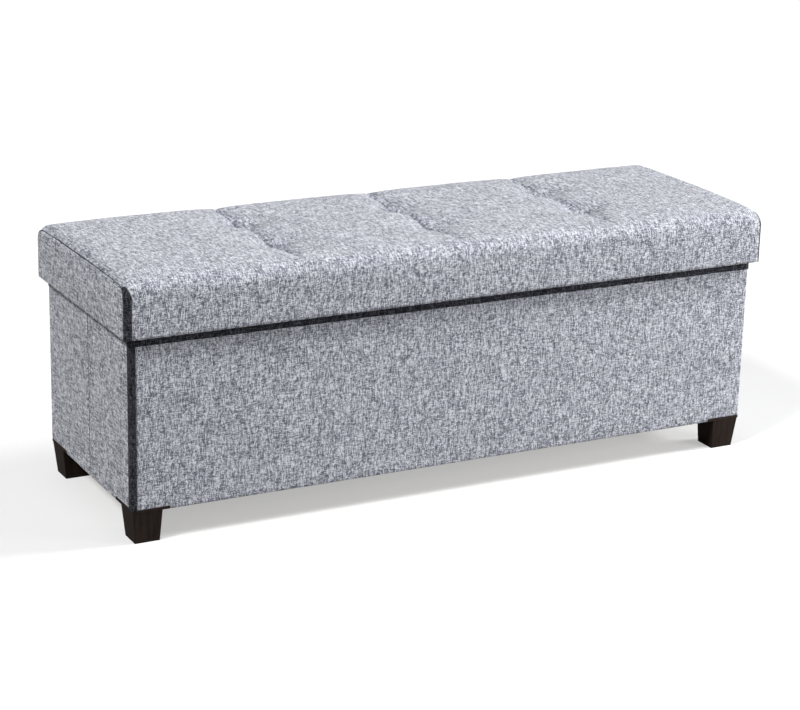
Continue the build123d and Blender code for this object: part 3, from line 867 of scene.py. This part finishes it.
def make_rim_strip(ahead, name, node):
    """The dark strip folded over the rim of a long wall. At the front, its band below the lid is partly
    painted shadow: the lid's shadow on the wall.

    At the back it isn't cut away for the lid's hinge leaves, which pass through it."""
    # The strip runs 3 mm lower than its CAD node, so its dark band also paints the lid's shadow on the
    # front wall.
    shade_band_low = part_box(node)[0][2] - 3 * MM
    inner = BODY_Y - 15 * MM
    xs = stations(-BODY_X + 0.3 * MM, BODY_X - 0.3 * MM, 8 * MM)
    section = [
        (BODY_Y + 0.2 * MM, shade_band_low),
        (BODY_Y + 1.0 * MM, shade_band_low + 1.2 * MM),
        (BODY_Y + 1.1 * MM, shade_band_low + 4.5 * MM),
        (BODY_Y + 0.8 * MM, RIM - 1.6 * MM),
        (BODY_Y + 0.1 * MM, RIM - 0.5 * MM),
        (BODY_Y - 1.0 * MM, RIM),
        (BODY_Y - 8 * MM, RIM),
        (inner, RIM),
        (inner - 1.2 * MM, RIM - 0.4 * MM),
        (inner - 1.7 * MM, RIM - 1.4 * MM),
        (inner - 1.8 * MM, RIM - 5 * MM),
    ]
    rows = []
    for x in xs:
        # The wavy lower edge copies the soft edge of the lid's shadow: painted shadow.
        sway = ripple((x, 0, 0), 0.05, 0.5 * MM, 8.8) + ripple((x, 0, 0), 0.012, 0.5 * MM, 2.2)
        rows.append([Vector((x, ahead * y, z + sway * (z < RIM - 2 * MM))) for y, z in section])
    piece = grid_piece(name, rows, [LONG_CHARCOAL], flip=ahead > 0)
    thicken(piece, STRIP_THICK)
    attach(piece, "body")
    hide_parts(node)


def stretched_sheet(node, body, thin_axis, inward):
    """A flat lining redrawn with the slight ripple of a stapled sheet.

    Its flat size is that of the CAD node's box, and its area its own, capped at that."""
    low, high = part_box(node)
    a, b = (i for i in range(3) if i != thin_axis)
    face = high[thin_axis] if inward > 0 else low[thin_axis]
    rows = []
    for p in stations(low[a], high[a], 12 * MM):
        row = []
        for q in stations(low[b], high[b], 12 * MM):
            edge = min(p - low[a], high[a] - p, q - low[b], high[b] - q)
            spot = [0.0, 0.0, 0.0]
            spot[a] = p
            spot[b] = q
            lift = abs(ripple(spot, 0.07, 0.8 * MM, 6.6)) * ease(edge / (20 * MM))
            spot[thin_axis] = face - inward * 0.1 * MM + inward * lift * 0.6
            row.append(Vector(spot))
        rows.append(row)
    handed = {0: 1, 1: -1, 2: 1}[thin_axis] * inward
    piece = grid_piece(node + "_cloth", rows, [LINING], flip=handed < 0)
    thicken(piece, LINING_THICK)
    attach(piece, body)
    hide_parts(node)


# Room --------------------------------------------------------------------------------

def make_floor():
    """A pale floor that looks nearly white but throws back less light, so undersides stay dark."""
    s = Shader("studio_floor", 0.9, Specular_IOR_Level=0.1)
    x, y = s.place()[:2]
    grain = s.noise(s.math("MULTIPLY", x, 40), s.math("MULTIPLY", y, 40), 0.0, 2.0)
    pale = s.ramp(grain, ((0.0, (0.60, 0.60, 0.60)), (1.0, (0.63, 0.63, 0.63))))
    seen = s.node("ShaderNodeLightPath").outputs["Is Camera Ray"]
    s.colour(s.tint(seen, (0.2, 0.2, 0.2), pale))
    s.surface.inputs["Emission Color"].default_value = (1, 1, 1, 1)
    s.feed(s.surface.inputs["Emission Strength"], s.math("MULTIPLY", seen, 0.42))
    reach = 30.0
    corners = [(-reach, -reach, 0), (reach, -reach, 0), (reach, reach, 0), (-reach, reach, 0)]
    floor = link_mesh("studio_floor", corners, [(0, 1, 2, 3)], [s.material], smooth=False)


def make_light(name, place, target, size, power):
    """A soft rectangular lamp aimed at a point."""
    lamp = bpy.data.lights.new(name, "AREA")
    lamp.shape = "RECTANGLE"
    lamp.size, lamp.size_y = size
    lamp.energy = power
    holder = bpy.data.objects.new(name, lamp)
    bpy.context.scene.collection.objects.link(holder)
    holder.location = place
    aim = Vector(target) - Vector(place)
    holder.rotation_euler = aim.to_track_quat("-Z", "Y").to_euler()


def make_sun(name, toward, strength, soft):
    """An even light from far away. soft is its spread in degrees."""
    lamp = bpy.data.lights.new(name, "SUN")
    lamp.energy = strength
    lamp.angle = math.radians(soft)
    holder = bpy.data.objects.new(name, lamp)
    bpy.context.scene.collection.objects.link(holder)
    holder.rotation_euler = (-Vector(toward)).to_track_quat("-Z", "Y").to_euler()


def make_camera():
    """A long lens from the front left, a little above, with a slight tilt."""
    place = Vector((-1.784, -3.378, 1.405))
    target = Vector((-0.009, 0.0, 0.184))
    tilt = math.radians(1.32)
    ahead = (target - place).normalized()
    level = ahead.cross(Vector((0, 0, 1))).normalized()
    above = level.cross(ahead)
    right = level * math.cos(tilt) + above * math.sin(tilt)
    above = right.cross(ahead)
    camera = bpy.data.objects.new("camera", bpy.data.cameras.new("camera"))
    bpy.context.scene.collection.objects.link(camera)
    turn = Matrix((right, above, -ahead)).transposed()
    camera.matrix_world = Matrix.Translation(place) @ turn.to_4x4()
    camera.data.lens = 107.74
    camera.data.clip_end = 100
    bpy.context.scene.camera = camera


def light_room():
    """White studio light: a dim sky, a low key from the right that shades the tufts, a steep
    fill from the left, and a square lamp out in front on the right."""
    world = bpy.data.worlds.new("studio")
    world.use_nodes = True
    bpy.context.scene.world = world
    sky = world.node_tree.nodes["Background"]
    sky.inputs["Color"].default_value = (1, 1, 1, 1)
    sky.inputs["Strength"].default_value = 0.25
    make_sun("key", (0.88, -0.15, 0.46), 2.7, 14)
    make_sun("fill", (-0.62, -0.22, 0.76), 2.0, 12)
    make_light("side", (1.5, -1.6, 0.6), (0.5, -0.2, 0.2), (0.8, 0.8), 17)
    bpy.context.scene.view_settings.view_transform = "Standard"


# Build -------------------------------------------------------------------------------

dress_cad_nodes()
end_section = make_cushion()
make_gusset(-1, "lid_left_end", "lid_left_gusset", end_section)
make_gusset(1, "lid_right_end", "lid_right_gusset", end_section)
make_lid_seam(-1, "lid_left_seam", end_section)
make_lid_seam(1, "lid_right_seam", end_section)
make_lid_strip(-1, -1, "lid_front_left_strip", "lid_front_left_binding")
make_lid_strip(1, 1, "lid_rear_right_strip", "lid_rear_right_binding")
make_long_panel(-1, "front_cover", "front_panel_cover")
make_long_panel(1, "back_cover", "back_panel_cover")
make_end_panel(-1, "left_cover", "left_end_cover")
make_end_panel(1, "right_cover", "right_end_cover")
make_rim_hem(-1, "left_rim_hem")
make_rim_hem(1, "right_rim_hem")
make_corner_strip(-1, -1, "front_left_strip", "front_left_corner_binding")
make_corner_strip(1, 1, "rear_right_strip", "rear_right_corner_binding")
make_rim_strip(-1, "front_rim_strip", "front_rim_binding")
make_rim_strip(1, "back_rim_strip", "back_rim_binding")
stretched_sheet("front_inner_lining", "body", 1, 1)
stretched_sheet("back_inner_lining", "body", 1, -1)
stretched_sheet("left_inner_lining", "body", 0, 1)
stretched_sheet("right_inner_lining", "body", 0, -1)
stretched_sheet("lid_dust_cover", "lid", 2, -1)

make_floor()
make_camera()
light_room()
